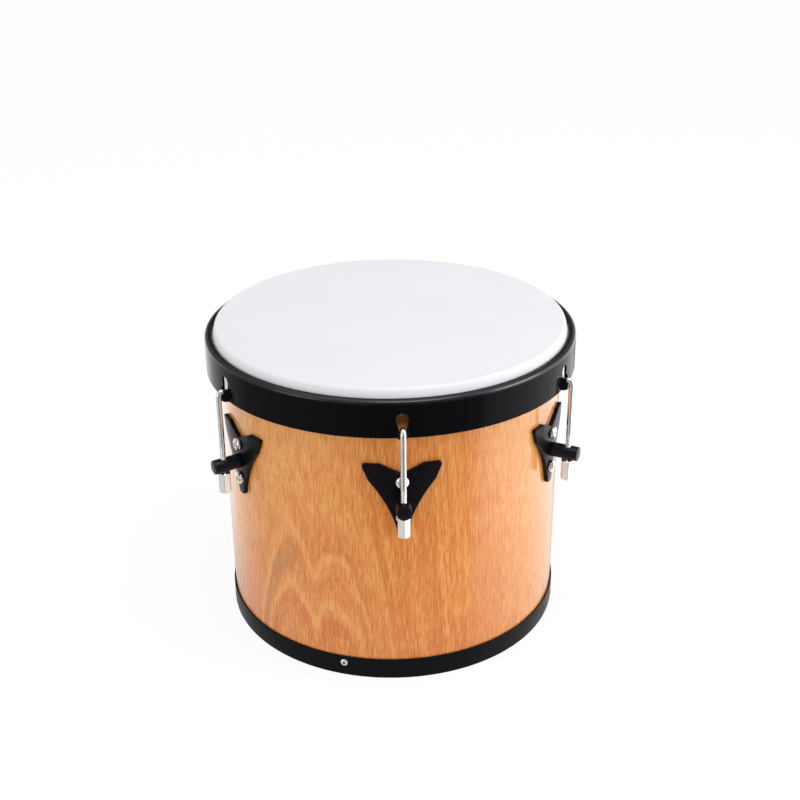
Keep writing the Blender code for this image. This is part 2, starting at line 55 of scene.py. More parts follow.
# Quads of a grid of points, rows by columns, joined at their ends where a way is closed
def gridFaces(rows, columns, closedRows, closedColumns):
    i = np.arange(rows if closedRows else rows - 1)[:, None]
    j = np.arange(columns if closedColumns else columns - 1)[None, :]
    iNext = (i + 1) % rows
    jNext = (j + 1) % columns
    corners = (i * columns + j, i * columns + jNext, iNext * columns + jNext, iNext * columns + j)
    return np.stack([np.broadcast_to(c, (i.size, j.size)).ravel() for c in corners], axis=1)


# Faces of a row of rings, with an end face at each end
def tubeFaces(rows, columns):
    faces = gridFaces(rows, columns, False, True).tolist()
    return faces + [list(range(columns)), list(range((rows - 1) * columns, rows * columns))]


# A profile (r, h) carried round the upright axis: x = r sin a, y = -r cos a, z = h
def roundSurface(profile, angles):
    radius, height = np.asarray(profile, float).T
    turn = np.asarray(angles)[:, None]
    return np.stack([radius * np.sin(turn), -radius * np.cos(turn), height + 0 * turn], axis=2)


def fullTurn(steps):
    return np.linspace(0.0, 2.0 * math.pi, steps, endpoint=False)


# A closed outline with its corners rounded. Each corner is (x, y, radius), and the arc about its
# centre runs between the two points where a circle of that radius touches the sides.
def roundedOutline(corners, steps=5):
    corners = np.asarray(corners, float)
    here = corners[:, :2]
    radius = corners[:, 2:3]
    before = np.roll(here, 1, axis=0) - here
    after = np.roll(here, -1, axis=0) - here
    before /= np.linalg.norm(before, axis=1, keepdims=True)
    after /= np.linalg.norm(after, axis=1, keepdims=True)
    half = 0.5 * np.arccos(np.clip((before * after).sum(axis=1, keepdims=True), -1.0, 1.0))
    middle = before + after
    middle /= np.linalg.norm(middle, axis=1, keepdims=True)
    centre = here + middle * radius / np.sin(half)
    start = here + before * radius / np.tan(half) - centre
    end = here + after * radius / np.tan(half) - centre
    first = np.arctan2(start[:, 1], start[:, 0])[:, None]
    sweep = np.arctan2(end[:, 1], end[:, 0])[:, None] - first
    sweep = (sweep + math.pi) % (2.0 * math.pi) - math.pi
    angle = first + sweep * np.linspace(0.0, 1.0, steps + 1)[None, :]
    arcs = centre[:, None, :] + radius[:, None, :] * np.stack([np.cos(angle), np.sin(angle)], axis=2)
    return arcs.reshape(-1, 2)


# Points added along a closed outline so that no step is longer than the one given
def closeSteps(outline, longest):
    steps = np.linalg.norm(np.roll(outline, -1, axis=0) - outline, axis=1)
    counts = np.maximum(1, np.ceil(steps / longest)).astype(int)
    index = np.repeat(np.arange(len(outline)), counts)
    part = np.concatenate([np.arange(n) / n for n in counts])[:, None]
    following = np.roll(outline, -1, axis=0)
    return outline[index] * (1.0 - part) + following[index] * part


# Lays a shape made along +Z so that it points out of the drum at the front lug
def laidOutward(points):
    points = np.asarray(points, float)
    return np.stack([points[..., 0], -points[..., 2], points[..., 1]], axis=-1)


def turnedRound(points, angle):
    points = np.asarray(points, float)
    c, s = math.cos(angle), math.sin(angle)
    x, y = points[..., 0], points[..., 1]
    return np.stack([c * x - s * y, s * x + c * y, points[..., 2]], axis=-1)


def newMesh(name, points, faces, sharpAngle=35.0):
    mesh = bpy.data.meshes.new(name)
    mesh.from_pydata(np.asarray(points, float).reshape(-1, 3).tolist(), [], [list(f) for f in faces])
    shape = bmesh.new()
    shape.from_mesh(mesh)
    bmesh.ops.remove_doubles(shape, verts=shape.verts, dist=1e-7)
    bmesh.ops.recalc_face_normals(shape, faces=shape.faces)
    if shape.calc_volume(signed=True) < 0.0:
        bmesh.ops.reverse_faces(shape, faces=shape.faces)
    shape.to_mesh(mesh)
    shape.free()
    mesh.shade_smooth()
    mesh.set_sharp_from_angle(angle=math.radians(sharpAngle))
    return mesh


# A profile carried all the way round. With a rise it is laid outward, that far up.
def turnedMesh(name, profile, steps, closed=False, sharpAngle=35.0, rise=None):
    points = roundSurface(profile, fullTurn(steps))
    if rise is not None:
        points = laidOutward(points) + np.array([0.0, 0.0, rise])
    return newMesh(name, points, gridFaces(steps, len(profile), True, closed), sharpAngle)


def addPiece(name, mesh, material=None):
    piece = bpy.data.objects.new(name, mesh)
    scene.collection.objects.link(piece)
    if material is not None:
        mesh.materials.clear()
        mesh.materials.append(material)
    return piece


# The mesh that is left when every cutter is taken away from it
def carved(name, mesh, cutters, sharpAngle=35.0):
    body = addPiece(name + "Blank", mesh)
    tools = [addPiece(name + "Cutter", cutter) for cutter in cutters]
    for tool in tools:
        cut = body.modifiers.new("cut", "BOOLEAN")
        cut.operation = "DIFFERENCE"
        cut.solver = "EXACT"
        cut.object = tool
    graph = bpy.context.evaluated_depsgraph_get()
    result = bpy.data.meshes.new_from_object(body.evaluated_get(graph))
    result.name = name
    for item in [body] + tools:
        bpy.data.objects.remove(item, do_unlink=True)
    result.shade_smooth()
    result.set_sharp_from_angle(angle=math.radians(sharpAngle))
    return result


# A round bar along +Z, from one height to another
def barMesh(radius, low, high, steps=32, place=(0.0, 0.0, 0.0)):
    profile = [(0.0, low), (radius, low), (radius, high), (0.0, high)]
    points = roundSurface(profile, fullTurn(steps)) + np.asarray(place)
    return points, gridFaces(steps, 4, True, False)


def movedCopy(name, mesh, angle, height=0.0):
    count = len(mesh.vertices)
    points = np.zeros(count * 3)
    mesh.vertices.foreach_get("co", points)
    points = turnedRound(points.reshape(-1, 3) + np.array([0.0, 0.0, height]), angle)
    copy = mesh.copy()
    copy.name = name
    copy.vertices.foreach_set("co", points.ravel())
    copy.update()
    return copy


def settle(piece, body, slot, *replaced):
    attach(piece, body)
    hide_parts(*replaced)


# Finishes

class Wiring:
    # Short ways to add nodes to a tree
    def __init__(self, tree):
        self.tree = tree

    def plug(self, source, target):
        if isinstance(source, (int, float, tuple)):
            target.default_value = source
        else:
            self.tree.links.new(source, target)

    # A new node with its settings, and its inputs in their order: each a value or another node's output
    def node(self, kind, *sources, **settings):
        item = self.tree.nodes.new(kind)
        for key, value in settings.items():
            setattr(item, key, value)
        for source, target in zip(sources, item.inputs):
            self.plug(source, target)
        return item

    # A node's inputs by their names
    def feed(self, item, **inputs):
        for name, source in inputs.items():
            self.plug(source, item.inputs[name.replace("_", " ")])
        return item

    def math(self, operation, *sources):
        return self.node("ShaderNodeMath", *sources, operation=operation).outputs["Value"]

    def times(self, a, b):
        return self.math("MULTIPLY", a, b)

    def spread(self, value, low, high, newLow=0.0, newHigh=1.0, smooth=False):
        item = self.node("ShaderNodeMapRange", interpolation_type="SMOOTHSTEP" if smooth else "LINEAR")
        self.feed(item, Value=value, From_Min=low, From_Max=high, To_Min=newLow, To_Max=newHigh)
        return item.outputs["Result"]

    def separate(self, vector):
        return self.node("ShaderNodeSeparateXYZ", vector).outputs

    def shaderMix(self, share, first, second):
        return self.node("ShaderNodeMixShader", share, first.outputs[0], second.outputs[0])


class Finish(Wiring):
    # A material, its shader and the place on the object that its patterns read
    def __init__(self, name):
        self.material = bpy.data.materials.new(name)
        self.material.use_nodes = True
        super().__init__(self.material.node_tree)
        self.shader = self.tree.nodes["Principled BSDF"]
        self.place = self.node("ShaderNodeTexCoord").outputs["Object"]

    def fromAxis(self):
        x, y, z = self.separate(self.place)
        return x, y, z, self.math("SQRT", self.math("MULTIPLY_ADD", x, x, self.times(y, y)))

    def stretched(self, scale, shift=(0.0, 0.0, 0.0)):
        item = self.node("ShaderNodeMapping")
        return self.feed(item, Vector=self.place, Location=shift, Scale=scale).outputs["Vector"]

    def noise(self, vector, scale=1.0, detail=2.0, roughness=0.5):
        item = self.node("ShaderNodeTexNoise")
        self.feed(item, Vector=vector, Scale=scale, Detail=detail, Roughness=roughness)
        return item.outputs["Fac"]

    def mixed(self, share, a, b, way="MIX"):
        item = self.node("ShaderNodeMix", share, data_type="RGBA", blend_type=way, clamp_factor=True)
        first, second = (socket for socket in item.inputs if socket.type == "RGBA")
        self.plug(a, first)
        self.plug(b, second)
        return next(socket for socket in item.outputs if socket.type == "RGBA")

    def joined(self, *parts):
        return self.node("ShaderNodeCombineXYZ", *parts).outputs[0]

    def bump(self, height, distance, strength):
        item = self.node("ShaderNodeBump")
        self.feed(item, Height=height, Distance=distance, Strength=strength)
        self.plug(item.outputs["Normal"], self.shader.inputs["Normal"])


noiseRange = (0.3, 0.7)  # holds nearly all the values of a noise


# Varnished veneer outside, bare plywood inside and on the edges. A flame is the place of its tip: metres
# round the shell from the front, and up. Broad and fine rings are their number, detail and roughness, and
# a noise is its scale, shift, detail and roughness. A layer is a noise, where it begins and where it is
# full, its share there and its colour.
woodValues = {
    "ground": (0.700, 0.232, 0.036, 1.0),
    "pale": (0.830, 0.385, 0.096, 1.0),
    "rusty": (0.595, 0.150, 0.020, 1.0),
    "fleck": (0.300, 0.085, 0.020, 1.0),
    "olive": (0.480, 0.200, 0.046, 1.0),
    "inside": (0.640, 0.400, 0.205, 1.0),
    "plyDark": (0.520, 0.165, 0.040, 1.0),
    # the painted shade behind the hoop: its colour, and the heights where it begins and where it is full
    "shade": (0.38, 0.30, 0.22, 1.0), "paintedShadeFrom": (0.243, 0.249),
    "skin": 0.1515, "skinDepth": 0.0006, "plyTurns": 4200.0,
    "flames": ((-0.102, 0.129), (-0.059, 0.112), (0.270, 0.060)),
    "flamePull": 70.0, "flameBlend": 0.03, "flameSway": (0.25, 0.75, -0.016, 0.016), "flameDepth": 0.16,
    "flameFade": (0.030, -0.010, 0.65, 1.0),
    "rings": ((26.0, 3.0, 0.55), (150.0, 2.0, 0.6)), "ringDrift": (6.0, 4.0),
    "bandTones": ((0.48, 0.36, "rusty"), (0.51, 0.64, "pale")), "bandShare": 0.95,
    "lineShown": (0.52, 0.70, 0.0, 0.40), "driftShown": (0.52, 0.70, 0.0, 0.45),
    "archLines": ((0.0, (0.002, 0.011, 0.85, 0.0)), (0.046, (0.001, 0.008, 0.60, 0.0))),
    "leg": 0.024, "legShown": (0.008, 0.022, 0.95, 0.0), "legSide": (-0.085, -0.105),
    "liftSlope": 0.9, "lift": (0.20, 0.30, 0.0, 0.80), "leftEnd": (-0.36, -0.22),
    # painted light: the right keys place the paler patch on the side that faces the right softbox
    "rightMiddle": 0.17, "rightEdge": (0.12, 0.05), "rightRise": (0.02, 0.22, 0.40, 0.80),
    "noises": {
        "sway": ((22.0, 22.0, 12.0), (0.0, 0.0, 0.0), 2.0, 0.5),
        "drift": ((16.0, 16.0, 6.0), (0.7, 2.1, 0.25), 2.0, 0.5),
        "streak": ((620.0, 620.0, 26.0), (0.0, 0.0, 0.0), 3.0, 0.65),
        "fine": ((1050.0, 1050.0, 75.0), (0.0, 0.0, 0.0), 3.0, 0.6),
        "fleck": ((1150.0, 1150.0, 130.0), (3.0, 0.0, 0.0), 1.0, 0.5),
    },
    "layers": (("streak", 0.50, 0.70, 0.50, "pale"), ("streak", 0.48, 0.31, 0.45, "rusty"),
               ("fine", 0.50, 0.62, 0.80, "rusty"), ("fine", 0.46, 0.36, 0.70, "pale"),
               ("fleck", 0.69, 0.76, 0.80, "fleck")),
    "bareStreaks": (0.35, 0.75, 0.0, 0.5), "barePlies": (0.0, 1.0, 0.0, 0.35),
    "roughness": (0.3, 0.8, 0.36, 0.46), "coatRoughness": 0.08, "gloss": 0.22,
    "bumpDepth": 0.00003, "bumpStrength": 0.3,
}


# The figure is the height above the nearest flame, z - tip + pull * (way round from the tip)^2, and a
# growth ring is a band of sqrt(figure + depth), so that the rings arch over the tips and stand
# upright and close together beside them.
def veneerFinish():
    v = woodValues
    wood = Finish("varnishedVeneer")
    x, y, z, radius = wood.fromAxis()
    around = wood.times(wood.math("ARCTAN2", x, wood.times(y, -1.0)), v["skin"])
    figure = 1.0
    for side, tip in v["flames"]:
        away = wood.math("SUBTRACT", around, side)
        arch = wood.math("MULTIPLY_ADD", wood.times(away, away), v["flamePull"],
                         wood.math("SUBTRACT", z, tip))
        figure = wood.math("SMOOTH_MIN", figure, arch, v["flameBlend"])
    noises = {name: wood.noise(wood.stretched(scale, shift=shift), detail=detail, roughness=roughness)
              for name, (scale, shift, detail, roughness) in v["noises"].items()}
    figure = wood.math("ADD", figure, wood.spread(noises["sway"], *v["flameSway"]))
    ring = wood.math("SQRT", wood.math("MAXIMUM", wood.math("ADD", figure, v["flameDepth"]), 0.0))
    slow = [wood.times(way, drift) for way, drift in zip((around, z), v["ringDrift"])]
    bands, lines = (wood.noise(wood.joined(wood.times(ring, number), *slow), detail=detail, roughness=roughness)
                    for number, detail, roughness in v["rings"])
    # the bands are strong in the flames and faint outside them
    strength = wood.spread(figure, *v["flameFade"])
    colour = v["ground"]
    for low, high, tone in v["bandTones"]:
        share = wood.times(wood.spread(bands, low, high, 0.0, v["bandShare"]), strength)
        colour = wood.mixed(share, colour, v[tone])
    colour = wood.mixed(wood.spread(lines, *v["lineShown"]), colour, v["pale"])
    colour = wood.mixed(wood.spread(noises["drift"], *v["driftShown"], smooth=True), colour, v["rusty"])
    # the pale line over each arch, a fainter one inside, and the brown one inside the left leg
    for inward, shown in v["archLines"]:
        nearLine = wood.math("ABSOLUTE", wood.math("ADD", figure, inward))
        colour = wood.mixed(wood.spread(nearLine, *shown), colour, v["pale"])
    nearLeg = wood.math("ABSOLUTE", wood.math("ADD", figure, v["leg"]))
    inLeg = wood.times(wood.spread(nearLeg, *v["legShown"]), wood.spread(around, *v["legSide"]))
    colour = wood.mixed(inLeg, colour, v["olive"])
    # paler towards the upper left; on the right, painted light makes the side that faces the right softbox
    # paler; even again at the joint at the back
    lift = wood.math("SUBTRACT", wood.times(z, v["liftSlope"]), around)
    leftShare = wood.times(wood.spread(lift, *v["lift"], smooth=True),
                           wood.spread(around, *v["leftEnd"], smooth=True))
    fromRight = wood.math("ABSOLUTE", wood.math("SUBTRACT", around, v["rightMiddle"]))
    rightPaintedLight = wood.times(wood.spread(fromRight, *v["rightEdge"], smooth=True),
                            wood.spread(z, *v["rightRise"]))
    colour = wood.mixed(wood.math("ADD", leftShare, rightPaintedLight), colour, v["pale"])
    for name, low, high, share, tone in v["layers"]:
        colour = wood.mixed(wood.spread(noises[name], low, high, 0.0, share), colour, v[tone])
    # painted shade: under the hoop the veneer is darkened, as if it lay in the hoop's shadow
    paintedShade = wood.mixed(1.0, colour, v["shade"], "MULTIPLY")
    colour = wood.mixed(wood.spread(z, *v["paintedShadeFrom"]), colour, paintedShade)
    # plies show as rings on the edges, and the inside is bare
    ply = wood.math("SINE", wood.times(radius, v["plyTurns"]))
    bare = wood.mixed(wood.spread(noises["streak"], *v["bareStreaks"]), v["inside"], v["pale"])
    bare = wood.mixed(wood.spread(ply, *v["barePlies"]), bare, v["plyDark"])
    outside = wood.spread(radius, v["skin"] - v["skinDepth"], v["skin"])
    wood.feed(wood.shader, Base_Color=wood.mixed(outside, bare, colour),
              Roughness=wood.spread(noises["fine"], *v["roughness"]),
              Coat_Weight=1.0, Coat_Roughness=v["coatRoughness"], Specular_IOR_Level=v["gloss"])
    height = wood.math("MULTIPLY_ADD", noises["fine"], 0.5, noises["fleck"])
    wood.bump(height, v["bumpDepth"], v["bumpStrength"])
    return wood.material


# Coated film, very slightly uneven
filmValues = {"colour": (0.845, 0.860, 0.896, 1.0), "shade": (0.831, 0.846, 0.882, 1.0), "cloudScale": 16.0,
              "grainScale": 2600.0, "roughness": (0.50, 0.60), "gloss": 0.07, "bumpDepth": 0.00002}


def filmFinish():
    v = filmValues
    film = Finish("coatedFilm")
    cloud = film.noise(film.place, scale=v["cloudScale"], detail=3.0)
    grain = film.noise(film.place, scale=v["grainScale"], detail=2.0)
    colour = film.mixed(film.spread(cloud, 0.35, 0.65), v["shade"], v["colour"])
    film.feed(film.shader, Base_Color=colour, Roughness=film.spread(grain, *noiseRange, *v["roughness"]),
              Specular_IOR_Level=v["gloss"])
    film.bump(grain, v["bumpDepth"], 0.25)
    return film.material


# Black paint on metal: gloss on the hoop, satin on the band and the lugs. Its roughness lies between low
# and high, and texture and depth are those of its small bumps. "polished" is where hands have rubbed a
# bend bright: from and to a distance from the axis, and from and to a height.
blackValues = {"cloudScale": 38.0, "scuffScale": (60.0, 60.0, 900.0), "scuffShown": (0.60, 0.85, 0.0, 0.5),
               "tint": (0.84, 0.80, 1.0, 1.0), "rubbedRoughness": 0.14, "bumpStrength": 0.5}


def blackFinish(name, colour, worn, low, high, texture, depth, gloss, polished=None):
    v = blackValues
    paint = Finish(name)
    cloud = paint.noise(paint.place, scale=v["cloudScale"], detail=4.0)
    grain = paint.noise(paint.place, scale=texture, detail=2.0)
    scuff = paint.noise(paint.stretched(v["scuffScale"]), detail=3.0, roughness=0.7)
    tone = paint.mixed(paint.spread(scuff, *v["scuffShown"]), colour, worn)
    paint.feed(paint.shader, Base_Color=tone, Roughness=paint.spread(cloud, *noiseRange, low, high),
               Specular_IOR_Level=gloss, Specular_Tint=v["tint"], Coat_Roughness=v["rubbedRoughness"])
    if polished is not None:
        z, radius = paint.fromAxis()[2:]
        rubbed = paint.times(paint.spread(radius, *polished[:2]), paint.spread(z, *polished[2:]))
        paint.feed(paint.shader, Coat_Weight=rubbed)
    paint.bump(grain, depth, v["bumpStrength"])
    return paint.material


# Bright metal: fine scratches and a little cloud in the gloss. Its roughness lies between low and high.
brightValues = {"cloudScale": 120.0, "dullShown": (0.35, 0.7, 0.0, 0.8), "bumpDepth": 0.00001,
                "bumpStrength": 0.4}


def brightFinish(name, colour, dull, low, high, scratch):
    v = brightValues
    metal = Finish(name)
    cloud = metal.noise(metal.place, scale=v["cloudScale"], detail=3.0)
    lines = metal.noise(metal.stretched(scratch), detail=3.0, roughness=0.7)
    tone = metal.mixed(metal.spread(cloud, *v["dullShown"]), colour, dull)
    metal.feed(metal.shader, Base_Color=tone, Metallic=1.0,
               Roughness=metal.spread(lines, *noiseRange, low, high))
    metal.bump(lines, v["bumpDepth"], v["bumpStrength"])
    return metal.material


finishes = {
    "veneer": veneerFinish(),
    "film": filmFinish(),
    "hoop": blackFinish("glossBlackHoop", (0.003, 0.003, 0.0036, 1.0), (0.007, 0.007, 0.008, 1.0),
                        0.05, 0.09, 900.0, 0.00001, 0.06, (0.1612, 0.1620, 0.2690, 0.2712)),
    "band": blackFinish("satinBlackBand", (0.004, 0.004, 0.0045, 1.0), (0.010, 0.009, 0.010, 1.0),
                        0.24, 0.34, 2200.0, 0.00002, 0.08),
    "lug": blackFinish("satinBlackPlate", (0.004, 0.004, 0.0045, 1.0), (0.010, 0.010, 0.010, 1.0),
                       0.24, 0.36, 3200.0, 0.00003, 0.14),
    "post": blackFinish("satinBlackPost", (0.004, 0.004, 0.0045, 1.0), (0.012, 0.012, 0.012, 1.0),
                        0.22, 0.32, 2600.0, 0.00002, 0.22),
    "rod": brightFinish("nickelRod", (0.88, 0.87, 0.85, 1.0), (0.80, 0.78, 0.76, 1.0), 0.18, 0.28,
                        (3000.0, 3000.0, 160.0)),
    "nut": brightFinish("nickelNut", (0.90, 0.87, 0.81, 1.0), (0.82, 0.78, 0.72, 1.0), 0.14, 0.26,
                        (2600.0, 2600.0, 300.0)),
    "screw": brightFinish("nickelScrew", (0.88, 0.87, 0.85, 1.0), (0.76, 0.74, 0.72, 1.0), 0.14, 0.26,
                          (1800.0, 1800.0, 1800.0)),
    "rivet": brightFinish("brightRivet", (0.84, 0.84, 0.84, 1.0), (0.76, 0.76, 0.76, 1.0), 0.18, 0.30,
                          (1800.0, 1800.0, 1800.0)),
    "stem": brightFinish("darkRivetStem", (0.16, 0.16, 0.17, 1.0), (0.08, 0.08, 0.09, 1.0), 0.40, 0.55,
                         (1800.0, 1800.0, 1800.0)),
    "flesh_hoop": brightFinish("millFleshHoop", (0.70, 0.70, 0.71, 1.0), (0.58, 0.58, 0.60, 1.0), 0.30, 0.46,
                               (300.0, 300.0, 2400.0)),
    "inner_nut": brightFinish("zincInnerNut", (0.60, 0.60, 0.63, 1.0), (0.50, 0.51, 0.55, 1.0), 0.28, 0.44,
                              (1400.0, 1400.0, 1400.0)),
}
print("finishes made,", len(finishes))


# Shell
shellValues = {"outer": 0.1525, "inner": 0.1455, "low": 0.0013, "high": 0.2793, "edgeRound": 0.002,
               "land": 0.0006, "footRound": 0.0003, "landRound": 0.0002, "bevelRound": 0.0005, "steps": 240}


def shellMesh():
    v = shellValues
    crown = v["outer"] - v["edgeRound"] - v["land"]
    profile = roundedOutline([
        (v["inner"], v["low"], v["footRound"]),
        (v["outer"], v["low"], v["footRound"]),
        (v["outer"], v["high"], v["edgeRound"]),
        (crown, v["high"], v["landRound"]),
        (v["inner"], v["high"] - (crown - v["inner"]), v["bevelRound"]),
    ], steps=7)
    return turnedMesh("veneerShell", profile, v["steps"], closed=True)


shell = addPiece("veneerShell", shellMesh(), finishes["veneer"])
settle(shell, "drum", "veneer", "shell")
print("shell made")


# Rim band, an angle ring round the bottom edge
bandValues = {"outer": 0.1538, "flange": 0.1455, "sheet": 0.001, "high": 0.020, "bend": 0.0017,
              "edgeRound": 0.0003, "steps": 240}


def bandMesh():
    v = bandValues
    inner = v["outer"] - v["sheet"]
    profile = roundedOutline([
        (v["flange"], 0.0, v["edgeRound"]),
        (v["outer"], 0.0, v["bend"]),
        (v["outer"], v["high"], v["edgeRound"]),
        (inner, v["high"], v["edgeRound"]),
        (inner, v["sheet"], v["bend"] - v["sheet"]),
        (v["flange"], v["sheet"], v["edgeRound"]),
    ])
    return turnedMesh("rimBand", profile, v["steps"], closed=True)


band = addPiece("rimBand", bandMesh(), finishes["band"])
settle(band, "drum", "band", "rim_band")
print("rim band made")


# Rivets: domed heads with the hollow of the pulled stem
rivetValues = {"firstAngle": -19.5, "count": 3, "rise": 0.0136, "seat": 0.1541, "head": 0.00325,
               "depth": 0.0011, "edge": 0.0001, "domeAngle": 78.0, "shank": 0.0016, "eye": 0.0009,
               "eyeDepth": 0.0016, "eyeRound": 0.0002, "eyeHollow": 0.0003, "eyeMargin": 0.0001,
               "tail": 0.0025, "tailSeat": 0.1449, "tailDepth": 0.0025, "steps": 40}


def rivetMesh():
    v = rivetValues
    top = v["seat"] + v["depth"]
    dome = np.linspace(0.0, math.radians(v["domeAngle"]), 9)
    swell = np.linspace(0.0, math.pi, 9)
    edge = v["edge"]
    head = np.stack([v["head"] * np.cos(dome), v["seat"] + edge + (v["depth"] - edge) * np.sin(dome)], axis=1)
    tail = np.stack([v["shank"] + (v["tail"] - v["shank"]) * np.sin(swell),
                     v["tailSeat"] - 0.5 * v["tailDepth"] * (1.0 - np.cos(swell))], axis=1)
    profile = np.concatenate([
        [(0.0, tail[-1, 1])], tail[::-1], [(v["shank"], v["seat"]), (v["head"], v["seat"])], head,
        [(v["eye"] + v["eyeRound"], top), (v["eye"], top - v["eyeRound"]), (v["eye"], top - v["eyeDepth"]),
         (0.0, top - v["eyeDepth"] + v["eyeHollow"])],
    ])
    return turnedMesh("rimRivet", profile, v["steps"], rise=0.0)


rivetShape = rivetMesh()
middles = np.zeros(len(rivetShape.polygons) * 3)
rivetShape.polygons.foreach_get("center", middles)
middles = middles.reshape(-1, 3)
fromAxis = np.hypot(middles[:, 0], middles[:, 2])
inEye = fromAxis < rivetValues["eye"] + rivetValues["eyeMargin"]
inEye = (inEye & (-middles[:, 1] > rivetValues["tailSeat"])).astype(int)
for k in range(rivetValues["count"]):
    angle = math.radians(rivetValues["firstAngle"] + 360.0 * k / rivetValues["count"])
    name = f"rimRivet{k + 1}"
    rivet = addPiece(name, movedCopy(name, rivetShape, angle, rivetValues["rise"]), finishes["rivet"])
    rivet.data.materials.append(finishes["stem"])
    rivet.data.polygons.foreach_set("material_index", inEye)
    settle(rivet, "drum", "rivet", f"rim_rivet_{k + 1}")
print("rivets made")


# Film: flat, over its shoulder just outside the shell, down the collar and into the flesh hoop
headValues = {"edgeCentre": (0.1528, 0.2770), "wrap": 0.0028, "thickness": 0.0004, "kneeRadius": 0.1572,
              "kneeHeight": 0.2707, "skirt": 0.004, "kneeRound": 0.0010, "flat": 0.150, "steps": 240}


def headMesh():
    v = headValues
    centre = np.array(v["edgeCentre"])
    knee = np.array([v["kneeRadius"], v["kneeHeight"]])
    reach = knee - centre
    leave = math.atan2(reach[1], reach[0]) + math.acos(v["wrap"] / np.linalg.norm(reach))
    wrap = np.linspace(leave, math.radians(90.0), 14)
    over = centre + v["wrap"] * np.stack([np.cos(wrap), np.sin(wrap)], axis=1)
    # the knee is a parabola from the collar to the skirt
    t = np.linspace(0.0, 1.0, 8)[:, None]
    down = knee - np.array([0.0, v["kneeRound"]])
    up = knee + (over[0] - knee) / np.linalg.norm(over[0] - knee) * v["kneeRound"]
    bend = (1 - t) ** 2 * down + 2 * t * (1 - t) * knee + t ** 2 * up
    foot = knee - np.array([0.0, v["skirt"]])
    flat = np.stack([np.linspace(v["flat"], 0.0, 13), np.full(13, over[-1, 1])], axis=1)
    line = np.concatenate([[foot], bend, over, flat])
    along = np.gradient(line, axis=0)
    along /= np.linalg.norm(along, axis=1, keepdims=True)
    across = 0.5 * v["thickness"] * np.stack([-along[:, 1], along[:, 0]], axis=1)
    across[-1] = (0.0, -0.5 * v["thickness"])
    sides = np.concatenate([(line + across)[::-1], line - across])
    return turnedMesh("filmHead", sides, v["steps"], sharpAngle=50.0)


head = addPiece("filmHead", headMesh(), finishes["film"])
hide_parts("drumhead")
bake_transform(head)
print("film made")


# Counter-hoop: an L profile, with a hook seat pressed out and a keyhole cut at each lug
hoopValues = {"outer": 0.1648, "sheet": 0.002, "low": 0.2407, "high": 0.2727, "lipEdge": 0.1581,
              "bend": 0.003, "lipRound": 0.00095, "footRound": 0.0007, "longestStep": 0.0012,
              "coarseSteps": 60, "fineHalf": 0.0078, "fineSteps": 44,
              "seatMiddle": 0.0036, "seatSheet": 0.0016, "seatFillet": 0.0016, "seatOffset": 0.0004,
              "pressFull": 0.0108, "pressEnd": 0.0146, "slotFoot": 0.2489, "slotFootRadius": 0.0028,
              "slotTop": 0.2572, "slotTopRadius": 0.0052, "slotFrom": 0.158, "slotDepth": 0.014}


# The pressed seat seen from above, as (sideways, outward) points of the sheet's middle: a wall, a fillet, a
# half round, a fillet and a wall, sampled at even steps of its own length
def seatLine(count):
    v = hoopValues
    f, p, c = v["seatFillet"], v["seatMiddle"], v["seatOffset"]
    filletX = math.sqrt((p + f) ** 2 - (f - c) ** 2)
    lean = math.atan2(f - c, filletX)
    inward = np.linspace(-math.pi / 2, -math.pi + lean, 12)
    right = np.stack([filletX + f * np.cos(inward), f + f * np.sin(inward)], axis=1)
    top = np.linspace(lean, math.pi / 2, 18)
    crown = np.stack([p * np.cos(top), c + p * np.sin(top)], axis=1)
    half = np.concatenate([[(v["fineHalf"], 0.0)], right, crown[1:]])
    line = np.concatenate([half, (half * np.array([-1.0, 1.0]))[::-1][1:]])
    length = np.concatenate([[0.0], np.cumsum(np.linalg.norm(np.diff(line, axis=0), axis=1))])
    even = np.linspace(0.0, length[-1], count)
    return np.stack([np.interp(even, length, line[:, 0]), np.interp(even, length, line[:, 1])], axis=1)


